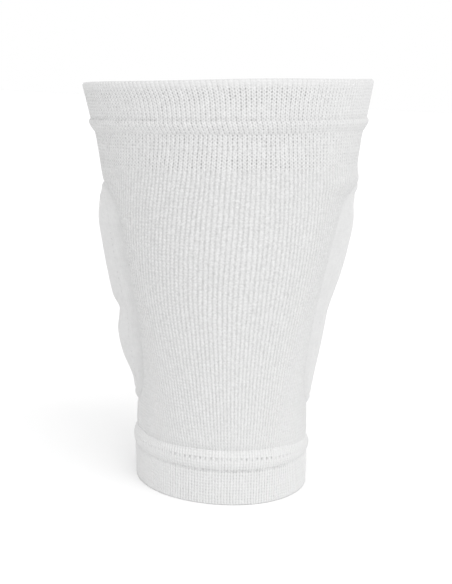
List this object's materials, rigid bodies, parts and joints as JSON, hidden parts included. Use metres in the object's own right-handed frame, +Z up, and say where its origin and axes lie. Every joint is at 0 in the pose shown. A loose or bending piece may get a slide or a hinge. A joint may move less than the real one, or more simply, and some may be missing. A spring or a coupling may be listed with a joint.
{
  "type": "volleyball knee pad",
  "caption": "Slip-on rib-knit knee sleeve with folded cuffs, hemmed ends and foam pads under a smooth cover that wraps round the front, standing on its lower cuff.",
  "frame": {"origin": "middle of the bounding box at its underside, where the lower cuff stands on a surface", "axes": "+Z up along the leg toward the thigh, -Y toward the padded front, +Y toward the ribbed back, +X to the left when seen from the back"},
  "size_m": [0.1518, 0.1398, 0.2197],
  "materials": {
    "rib_knit": "white elastic rib knit, matt, with fine vertical ribs",
    "upper_cuff_knit": "white folded rib knit, matt",
    "lower_cuff_knit": "white folded rib knit, matt",
    "cover_fabric": "white close-knit fabric, smooth and matt",
    "foam": "off-white closed-cell foam, matt"
  },
  "bodies": {
    "root": {"knit_sleeve": "rib_knit", "upper_cuff": "upper_cuff_knit", "lower_cuff": "lower_cuff_knit", "pad_cover": "cover_fabric", "upper_foam_pad": "foam", "lower_foam_pad": "foam"}
  },
  "joints": []
}
